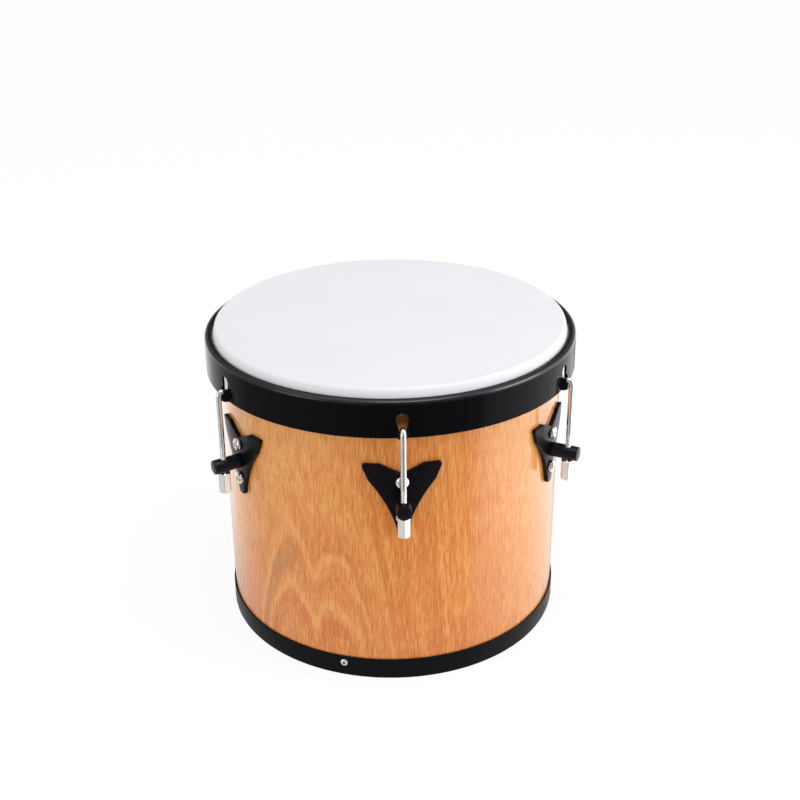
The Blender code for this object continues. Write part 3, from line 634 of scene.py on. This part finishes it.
def hoopMesh():
    v = hoopValues
    inner = v["outer"] - v["sheet"]
    middle = 0.5 * (v["outer"] + inner)
    under = v["high"] - v["sheet"]
    profile = closeSteps(roundedOutline([
        (v["outer"], v["low"], v["footRound"]),
        (v["outer"], v["high"], v["bend"]),
        (v["lipEdge"], v["high"], v["lipRound"]),
        (v["lipEdge"], under, v["lipRound"]),
        (inner, under, v["bend"] - v["sheet"]),
        (inner, v["low"], v["footRound"]),
    ], steps=6), v["longestStep"])
    # columns: fine across each seat, coarse between
    count = v["fineSteps"]
    pressed = seatLine(count)[::-1]
    plain = np.stack([np.linspace(-v["fineHalf"], v["fineHalf"], count), np.zeros(count)], axis=1)
    edge = v["fineHalf"] / middle
    between = np.linspace(edge, lugStep - edge, v["coarseSteps"])[1:-1]
    tangent = np.gradient(pressed, axis=0)
    tangent /= np.linalg.norm(tangent, axis=1, keepdims=True)
    outward = np.stack([-tangent[:, 1], tangent[:, 0]], axis=1)
    # share of the pressing at each height, and each profile point's distance from the sheet's middle
    rise = profile[:, 1] - v["low"]
    share = np.clip((v["pressEnd"] - rise) / (v["pressEnd"] - v["pressFull"]), 0.0, 1.0)
    share = (share * share * (3.0 - 2.0 * share))[None, :, None]
    offset = (profile[:, 0] - middle)[None, :, None]
    thin = offset * (v["seatSheet"] / v["sheet"])
    flat = plain[:, None, :] + offset * np.array([0.0, 1.0])
    bulged = pressed[:, None, :] + thin * outward[:, None, :]
    local = flat * (1.0 - share) + bulged * share
    seatAngle = local[..., 0] / middle
    seatRadius = middle + local[..., 1]
    wallAngle = np.broadcast_to(between[:, None], (len(between), len(profile)))
    wallRadius = np.broadcast_to(profile[:, 0], wallAngle.shape)
    angle = np.concatenate([seatAngle, wallAngle])
    radius = np.concatenate([seatRadius, wallRadius])
    angle = np.concatenate([angle + turn for turn in lugAngles])
    radius = np.tile(radius, (len(lugAngles), 1))
    height = np.broadcast_to(profile[:, 1], angle.shape)
    points = np.stack([radius * np.sin(angle), -radius * np.cos(angle), height], axis=2)
    blank = newMesh("counterHoopBlank", points, gridFaces(len(points), len(profile), True, True))
    # keyhole outline: two rounds and their outer tangents
    lean = math.asin((v["slotTopRadius"] - v["slotFootRadius"]) / (v["slotTop"] - v["slotFoot"]))
    over = np.linspace(-lean, math.pi + lean, 28)
    below = np.linspace(math.pi + lean, 2.0 * math.pi - lean, 20)
    rounds = ((over, v["slotTopRadius"], v["slotTop"]), (below, v["slotFootRadius"], v["slotFoot"]))
    keyhole = np.concatenate([np.stack([radius * np.cos(way), middle + radius * np.sin(way)], axis=1)
                              for way, radius, middle in rounds])
    cutters = []
    for turn in lugAngles:
        near = np.column_stack([keyhole[:, 0], np.full(len(keyhole), -v["slotFrom"]), keyhole[:, 1]])
        far = near - np.array([0.0, v["slotDepth"], 0.0])
        ends = turnedRound(np.concatenate([near, far]), turn)
        cutters.append(newMesh("keyhole", ends, tubeFaces(2, len(keyhole))))
    return carved("counterHoop", blank, cutters, 32.0)


hoop = addPiece("counterHoop", hoopMesh(), finishes["hoop"])
settle(hoop, "hoop", "hoop", "counter_hoop")
print("counter-hoop made")


# Hook rods: a plain bar with a rolled thread below and a half turn above
rodValues = {"axis": 0.1716, "radius": 0.0025, "foot": 0.1630, "bendHeight": 0.2456, "bendRadius": 0.0037,
             "leg": 0.0025, "threadTop": 0.1990, "pitch": 0.0008, "threadDepth": 0.00042,
             "threadFade": 0.0016, "stepsPerPitch": 7.0, "endChamfer": 0.0006, "round": 20}


# A circle carried along the rod's centre line. Over the thread the radius falls by
# depth * (1 - cos(2 pi s / pitch - angle)) / 2, where s is the length from the foot.
def rodMesh():
    v = rodValues
    threaded = v["threadTop"] - v["foot"]
    straight = v["bendHeight"] - v["foot"]
    turned = math.pi * v["bendRadius"]
    length = np.concatenate([
        np.arange(0.0, threaded, v["pitch"] / v["stepsPerPitch"]),
        np.linspace(threaded, straight, 12),
        straight + np.linspace(0.0, turned, 22)[1:],
        [straight + turned + v["leg"] - v["endChamfer"], straight + turned + v["leg"]],
    ])
    bend = np.clip((length - straight) / v["bendRadius"], 0.0, math.pi)
    past = np.maximum(0.0, length - straight - turned)
    outward = v["axis"] - v["bendRadius"] * (1.0 - np.cos(bend))
    height = v["foot"] + np.minimum(length, straight) + v["bendRadius"] * np.sin(bend) - past
    around = fullTurn(v["round"])[None, :]
    wave = 0.5 * (1.0 - np.cos(2.0 * math.pi * length[:, None] / v["pitch"] - around))
    inThread = np.clip((threaded - length[:, None]) / v["threadFade"], 0.0, 1.0)
    radius = v["radius"] - v["threadDepth"] * wave * inThread
    # ends are chamfered
    c = v["endChamfer"]
    for fromEnd in (length, length[-1] - length):
        radius = radius - c * np.clip(1.0 - fromEnd[:, None] / c, 0.0, 1.0)
    lift = radius * np.cos(around)
    y = -(outward[:, None] + lift * np.cos(bend)[:, None])
    z = height[:, None] + lift * np.sin(bend)[:, None]
    points = np.stack([radius * np.sin(around), y, z], axis=2)
    return newMesh("hookRod", points, tubeFaces(*points.shape[:2]), 60.0)


# Tension nuts: a hexagon cut by a cone at each end, with a bore right through
nutValues = {"flats": 0.010, "length": 0.019, "top": 0.1748, "bore": 0.0029, "chamfer": 0.0012,
             "edge": 0.985, "cone": 40.0, "lead": 0.0004,
             "sideAngles": (0.0, 2.0, 4.5, 7.0, 13.0, 21.0, 30.0, 39.0, 47.0, 53.0, 55.5, 58.0)}


# Radius round the nut: half the flats / cos of the angle from the nearest flat's middle, no more than
# the corner's small round and no more than the cone at that height
def nutMesh():
    v = nutValues
    side = np.radians(v["sideAngles"])
    angles = np.concatenate([side + math.radians(60.0 * k) for k in range(6)])
    corner = v["flats"] / math.sqrt(3.0)
    hexagon = 0.5 * v["flats"] / np.cos(angles % math.radians(60.0) - math.radians(30.0))
    hexagon = np.minimum(hexagon, v["edge"] * corner)
    depth = v["chamfer"] * math.tan(math.radians(v["cone"]))
    step = np.linspace(0.0, depth, 7)
    cone = corner - v["chamfer"] + step / math.tan(math.radians(v["cone"]))
    drop = np.concatenate([step, np.linspace(depth, v["length"] - depth, 4)[1:-1], v["length"] - step[::-1]])
    limit = np.concatenate([cone, [corner, corner], cone[::-1]])
    outside = np.minimum(hexagon[:, None], limit[None, :])
    lead = v["lead"]
    boreDrop = np.array([v["length"], v["length"] - lead, lead, 0.0])
    bore = np.array([v["bore"] + lead, v["bore"], v["bore"], v["bore"] + lead])
    bore = np.broadcast_to(bore, (len(angles), 4))
    radius = np.concatenate([outside, bore], axis=1)
    drop = np.broadcast_to(np.concatenate([drop, boreDrop]), radius.shape)
    turn = angles[:, None]
    points = np.stack([radius * np.sin(turn), -rodValues["axis"] - radius * np.cos(turn), v["top"] - drop],
                      axis=2)
    return newMesh("tensionNut", points, gridFaces(*points.shape[:2], True, True), 24.0)


# Posts: a round bar on a spigot, chamfered, with a cross-hole
postValues = {"height": 0.1814, "foot": 0.1566, "end": 0.1812, "radius": 0.0063, "chamfer": 0.0009,
              "footRound": 0.0003, "spigot": 0.0037, "spigotFoot": 0.1531, "hole": 0.0029,
              "holeReach": 0.01, "steps": 56}


def postMesh():
    v = postValues
    c = v["chamfer"]
    profile = [(0.0, v["spigotFoot"]), (v["spigot"], v["spigotFoot"]), (v["spigot"], v["foot"]),
               (v["radius"] - v["footRound"], v["foot"]), (v["radius"], v["foot"] + v["footRound"]),
               (v["radius"], v["end"] - c), (v["radius"] - 0.25 * c, v["end"] - 0.35 * c),
               (v["radius"] - c, v["end"]), (0.0, v["end"])]
    blank = turnedMesh("lugPostBlank", profile, v["steps"], rise=v["height"])
    hole, faces = barMesh(v["hole"], v["height"] - v["holeReach"], v["height"] + v["holeReach"], 40,
                          (0.0, -rodValues["axis"], 0.0))
    return carved("lugPost", blank, [newMesh("crossHole", hole, faces)], 28.0)


# Plates: a plain chevron bent round the shell, with an eased front edge
plateValues = {"inner": 0.1528, "thickness": 0.0035, "halfWidth": 0.0338, "rise": 0.0310, "drop": 0.0322,
               "footHalf": 0.0036, "armTop": 0.0155, "armDrop": 0.0145, "armInset": 0.0060, "notch": 0.009,
               "pull": 0.0032, "cornerRound": 0.0018, "edgeRound": 0.0006, "screwBore": 0.0028,
               "flankRound": 0.0004, "spigotBore": 0.0040, "boreFrom": 0.148, "boreTo": 0.160,
               "strip": 0.0021, "upperScrew": 0.0159, "lowerScrew": 0.0168}


def plateMesh():
    v = plateValues
    centre = postValues["height"]
    top, foot = centre + v["rise"], centre - v["drop"]
    start = np.array([v["halfWidth"] - v["armInset"], top - v["armDrop"]])
    end = np.array([v["footHalf"], foot])
    across = np.array([end[1] - start[1], start[0] - end[0]])
    pull = 0.5 * (start + end) + 2.0 * v["pull"] * across / np.linalg.norm(across)
    t = np.linspace(0.0, 1.0, 7)[:, None]
    flank = (1 - t) ** 2 * start + 2 * t * (1 - t) * pull + t ** 2 * end
    ends = [v["cornerRound"]] + [v["flankRound"]] * 5 + [v["cornerRound"]]
    right = [(v["halfWidth"] - v["armTop"], top, v["cornerRound"]), (v["halfWidth"], top, v["cornerRound"])]
    right += [(x, z, r) for (x, z), r in zip(flank, ends)]
    left = [(-x, z, r) for x, z, r in reversed(right)]
    outline = roundedOutline(right + left + [(0.0, top - v["notch"], v["cornerRound"])], steps=5)
    # the front edge is a quarter round, made of rings set in along the outline's normals
    along = np.roll(outline, -1, axis=0) - np.roll(outline, 1, axis=0)
    along /= np.linalg.norm(along, axis=1, keepdims=True)
    inwardNormal = np.stack([along[:, 1], -along[:, 0]], axis=1)
    turn = np.linspace(0.0, math.pi / 2, 5)
    inset = np.concatenate([[0.0], v["edgeRound"] * (1.0 - np.cos(turn))])
    depth = np.concatenate([[0.0], v["thickness"] - v["edgeRound"] * (1.0 - np.sin(turn))])
    rings = outline[None, :, :] + inset[:, None, None] * inwardNormal[None, :, :]
    points = np.concatenate([rings, np.broadcast_to(depth[:, None, None], rings.shape[:2] + (1,))], axis=2)
    mesh = newMesh("lugPlateFlat", points, tubeFaces(*points.shape[:2]))
    shape = bmesh.new()
    shape.from_mesh(mesh)
    count = int(v["halfWidth"] / v["strip"])
    for k in range(-count, count + 1):
        parts = list(shape.verts) + list(shape.edges) + list(shape.faces)
        bmesh.ops.bisect_plane(shape, geom=parts, plane_co=(k * v["strip"], 0.0, 0.0),
                               plane_no=(1.0, 0.0, 0.0))
    shape.to_mesh(mesh)
    shape.free()
    flat = np.zeros(len(mesh.vertices) * 3)
    mesh.vertices.foreach_get("co", flat)
    x, z, out = flat.reshape(-1, 3).T
    angle = x / (v["inner"] + v["thickness"])
    radius = v["inner"] + out
    bent = np.stack([radius * np.sin(angle), -radius * np.cos(angle), z], axis=1)
    faces = [list(p.vertices) for p in mesh.polygons]
    blank = newMesh("lugPlateBlank", bent, faces)
    cutters = []
    for radius, height in ((v["screwBore"], centre + v["upperScrew"]), (v["spigotBore"], centre),
                           (v["screwBore"], centre - v["lowerScrew"])):
        bar, barFaces = barMesh(radius, v["boreFrom"], v["boreTo"])
        cutters.append(newMesh("bore", laidOutward(bar) + np.array([0.0, 0.0, height]), barFaces))
    return carved("lugPlate", blank, cutters, 28.0)


# Screws: pan heads with a cross recess, and a plain shank
screwValues = {"seat": 0.1566, "tip": 0.1384, "tipChamfer": 0.0006, "shank": 0.0025, "head": 0.0056,
               "headRound": 0.0002, "depth": 0.0034, "rim": 0.0011, "domeAngle": 62.0, "domeShare": 0.48,
               "peak": 0.0001, "recessSpan": 0.0058, "recessSlot": 0.0012, "recessDepth": 0.0017,
               "recessAbove": 0.0006, "recessWide": 1.04, "recessNarrow": 0.62, "steps": 44}


def screwMesh():
    v = screwValues
    dome = np.linspace(0.0, math.radians(v["domeAngle"]), 9)
    crown = v["depth"] - v["rim"]
    spread = (1.0 - np.cos(dome)) / (1.0 - math.cos(dome[-1]))
    head = np.stack([v["head"] * (1.0 - v["domeShare"] * spread),
                     v["seat"] + v["rim"] + crown * np.sin(dome) / math.sin(dome[-1])], axis=1)
    profile = np.concatenate([
        [(0.0, v["tip"]), (v["shank"] - v["tipChamfer"], v["tip"]),
         (v["shank"], v["tip"] + v["tipChamfer"]), (v["shank"], v["seat"]),
         (v["head"] - v["headRound"], v["seat"]), (v["head"], v["seat"] + v["headRound"])],
        head, [(0.0, v["seat"] + v["depth"] + v["peak"])],
    ])
    blank = turnedMesh("plateScrewBlank", profile, v["steps"], sharpAngle=40.0, rise=0.0)
    half, slot = 0.5 * v["recessSpan"], 0.5 * v["recessSlot"]
    cross = [(half, slot), (slot, slot), (slot, half), (-slot, half), (-slot, slot), (-half, slot)]
    cross = np.array(cross + [(-a, -b) for a, b in cross])
    high = v["seat"] + v["depth"]
    # the recess narrows as it goes in
    rim = np.column_stack([cross * v["recessWide"], np.full(12, high + v["recessAbove"])])
    floor = np.column_stack([cross * v["recessNarrow"], np.full(12, high - v["recessDepth"])])
    recess = newMesh("recess", laidOutward(np.concatenate([rim, floor])), tubeFaces(2, 12))
    return carved("plateScrew", blank, [recess], 32.0)


lugShapes = {
    "hookRod": (rodMesh(), "hoop", "rod", "hook_rod"),
    "lugPost": (postMesh(), "drum", "post", "lug_post"),
    "lugPlate": (plateMesh(), "drum", "lug", "lug_plate"),
    "tensionNut": (nutMesh(), None, "nut", "tension_nut"),
}
screwShape = screwMesh()
for k, angle in enumerate(lugAngles):
    for kind, (mesh, body, slot, node) in lugShapes.items():
        name = f"{kind}{k + 1}"
        piece = addPiece(name, movedCopy(name, mesh, angle), finishes[slot])
        settle(piece, body or f"nut_{k + 1}", slot, f"{node}_{k + 1}")
    for level, rise in (("upper", plateValues["upperScrew"]), ("lower", -plateValues["lowerScrew"])):
        name = f"{level}Screw{k + 1}"
        mesh = movedCopy(name, screwShape, angle, postValues["height"] + rise)
        settle(addPiece(name, mesh, finishes["screw"]), "drum", "screw", f"{level}_screw_{k + 1}")
print("lugs made")


# CAD nodes that stay: the flesh hoop and the nuts inside the shell
for name, node in nodes.items():
    slot = "flesh_hoop" if name == "flesh_hoop" else "inner_nut" if "inner_nut" in name else None
    if slot:
        node.data.materials.clear()
        node.data.materials.append(finishes[slot])
print("kept nodes finished")


# Studio
# "glossAround" is what gloss sees round the drum, as (degrees from the front, anticlockwise from above;
# brightness): the dark round the camera, a softbox on the right, a weaker one on the left and a dark gap at
# the back. "floorSeen" is how far from the axis gloss sees the floor, and from where it looks past it. A lamp
# is its name, place, size and power.
studioValues = {
    "glossAround": ((-180.0, 0.50), (-170.0, 1.00), (-155.0, 1.40), (-140.0, 1.20), (-120.0, 0.90),
                    (-100.0, 0.50), (-80.0, 0.64), (-60.0, 0.74), (-45.0, 0.60), (-20.0, 0.38),
                    (-13.0, 0.19), (7.0, 0.19), (14.0, 0.36), (42.0, 0.42), (45.0, 0.50),
                    (53.0, 0.60), (57.0, 1.70), (75.0, 1.95), (93.0, 2.00), (110.0, 1.75),
                    (143.0, 1.50), (151.0, 1.15), (158.0, 0.45), (166.0, 0.10), (180.0, 0.50)),
    "backDark": 0.30, "backEdge": (105.0, 135.0), "backRise": (0.03, 0.15),
    "overhead": 1.10, "overheadRise": (0.70, 0.90),
    "ambient": 0.72, "ambientColour": (1.0, 0.985, 0.965, 1.0),
    "lamps": (("keySoftbox", (0.3, -0.6, 2.5), 1.4, 12.9), ("leftSoftbox", (-1.5, -1.0, 0.5), 1.0, 4.0),
              ("rightSoftbox", (1.5, -0.45, 0.7), 1.0, 10.3)),
    "lampsAim": (0.0, 0.0, 0.15),
    "floorHalf": 8.0, "floorDrop": 0.0003, "floorColour": (0.95, 0.95, 0.95, 1.0),
    "floorShown": 0.90, "floorWhite": 1.02, "floorSeen": (0.12, 0.42),
}


# White to the camera, even light for matt surfaces, and the softboxes of the table above for gloss
def buildWorld():
    v = studioValues
    world = bpy.data.worlds.new("whiteStudio")
    scene.world = world
    world.use_nodes = True
    world.node_tree.nodes.clear()
    sky = Wiring(world.node_tree)
    x, y, z = sky.separate(sky.node("ShaderNodeTexCoord").outputs["Generated"])
    azimuth = sky.math("ARCTAN2", x, sky.times(y, -1.0))
    ramp = sky.node("ShaderNodeValToRGB", sky.math("MULTIPLY_ADD", azimuth, 0.5 / math.pi, 0.5))
    brightest = max(brightness for degrees, brightness in v["glossAround"])
    stops = ramp.color_ramp.elements
    for index, (degrees, brightness) in enumerate(v["glossAround"]):
        share = degrees / 360.0 + 0.5
        stop = stops[0] if index == 0 else stops[-1] if share == 1.0 else stops.new(share)
        stop.color = (*[brightness / brightest] * 3, 1.0)
    glossy = sky.times(ramp.outputs["Color"], brightest)
    # darker behind the drum above the table, and a softbox overhead
    aside = sky.times(sky.math("ABSOLUTE", azimuth), 180.0 / math.pi)
    behind = sky.times(sky.spread(aside, *v["backEdge"], smooth=True),
                       sky.spread(z, *v["backRise"], smooth=True))
    above = sky.spread(z, *v["overheadRise"], smooth=True)
    for share, value in ((behind, v["backDark"]), (above, v["overhead"])):
        glossy = sky.math("MULTIPLY_ADD", sky.math("SUBTRACT", value, glossy), share, glossy)
    path = sky.node("ShaderNodeLightPath").outputs
    straight = sky.math("MAXIMUM", path["Is Camera Ray"], path["Is Transmission Ray"])
    shown = sky.math("MAXIMUM", straight, glossy)
    seen = sky.math("MAXIMUM", straight, path["Is Glossy Ray"])
    ambient = sky.node("ShaderNodeBackground", v["ambientColour"], v["ambient"])
    white = sky.node("ShaderNodeBackground", (1.0, 1.0, 1.0, 1.0), shown)
    sky.node("ShaderNodeOutputWorld", sky.shaderMix(seen, ambient, white).outputs[0])


# The floor is white to the camera but for part of the shadow. Gloss sees it near the drum and looks
# past it to the world farther out.
def buildFloor():
    v = studioValues
    corners = np.array([(-1, -1), (1, -1), (1, 1), (-1, 1)]) * v["floorHalf"]
    mesh = bpy.data.meshes.new("paleFloor")
    mesh.from_pydata(np.column_stack([corners, np.full(4, -v["floorDrop"])]).tolist(), [], [[0, 1, 2, 3]])
    floor = addPiece("paleFloor", mesh)
    material = bpy.data.materials.new("paleFloor")
    material.use_nodes = True
    material.node_tree.nodes.clear()
    cover = Wiring(material.node_tree)
    matt = cover.node("ShaderNodeBsdfDiffuse", v["floorColour"])
    glow = cover.feed(cover.node("ShaderNodeEmission"), Strength=v["floorWhite"])
    clear = cover.node("ShaderNodeBsdfTransparent")
    path = cover.node("ShaderNodeLightPath").outputs
    lit = cover.shaderMix(cover.times(path["Is Camera Ray"], v["floorShown"]), matt, glow)
    place = cover.node("ShaderNodeTexCoord").outputs["Object"]
    distance = cover.node("ShaderNodeVectorMath", place, operation="LENGTH").outputs["Value"]
    far = cover.times(path["Is Glossy Ray"], cover.spread(distance, *v["floorSeen"]))
    cover.node("ShaderNodeOutputMaterial", cover.shaderMix(far, lit, clear).outputs[0])
    mesh.materials.append(material)


# A round lamp that points at the middle of the drum
def addSoftbox(name, place, size, power):
    lamp = bpy.data.lights.new(name, "AREA")
    lamp.shape = "DISK"
    lamp.size = size
    lamp.energy = power
    box = bpy.data.objects.new(name, lamp)
    scene.collection.objects.link(box)
    box.location = place
    ray = Vector(studioValues["lampsAim"]) - Vector(place)
    box.rotation_euler = ray.to_track_quat("-Z", "Y").to_euler()


cameraValues = {"azimuth": -3.1, "distance": 1.1553, "pitch": 25.20, "aimHeight": 0.1968, "roll": -0.0119,
                "focal": 1258.3, "axisPixel": 390.87, "pictureWidth": 800.0, "sensorWidth": 36.0,
                "clipStart": 0.02}


# The camera that the photo was taken with: its right, up and back are the columns of its matrix
def buildCamera():
    v = cameraValues
    pitch, azimuth, roll = math.radians(v["pitch"]), math.radians(v["azimuth"]), v["roll"]
    forward = turnedRound([0.0, math.cos(pitch), -math.sin(pitch)], azimuth)
    right = turnedRound([1.0, 0.0, 0.0], azimuth)
    up = np.cross(right, forward)
    turnedRight = math.cos(roll) * right + math.sin(roll) * up
    turnedUp = math.cos(roll) * up - math.sin(roll) * right
    place = np.array([0.0, 0.0, v["aimHeight"]]) - v["distance"] * forward
    matrix = np.eye(4)
    matrix[:3, 0], matrix[:3, 1], matrix[:3, 2], matrix[:3, 3] = turnedRight, turnedUp, -forward, place
    lens = bpy.data.cameras.new("camera")
    lens.sensor_width = v["sensorWidth"]
    lens.lens = v["focal"] / v["pictureWidth"] * lens.sensor_width
    lens.shift_x = (0.5 * v["pictureWidth"] - v["axisPixel"]) / v["pictureWidth"]
    lens.clip_start = v["clipStart"]
    camera = bpy.data.objects.new("camera", lens)
    scene.collection.objects.link(camera)
    camera.matrix_world = Matrix(matrix.tolist())
    scene.camera = camera


buildWorld()
buildFloor()
for lamp in studioValues["lamps"]:
    addSoftbox(*lamp)
buildCamera()
scene.view_settings.view_transform = "Standard"
print("studio made")
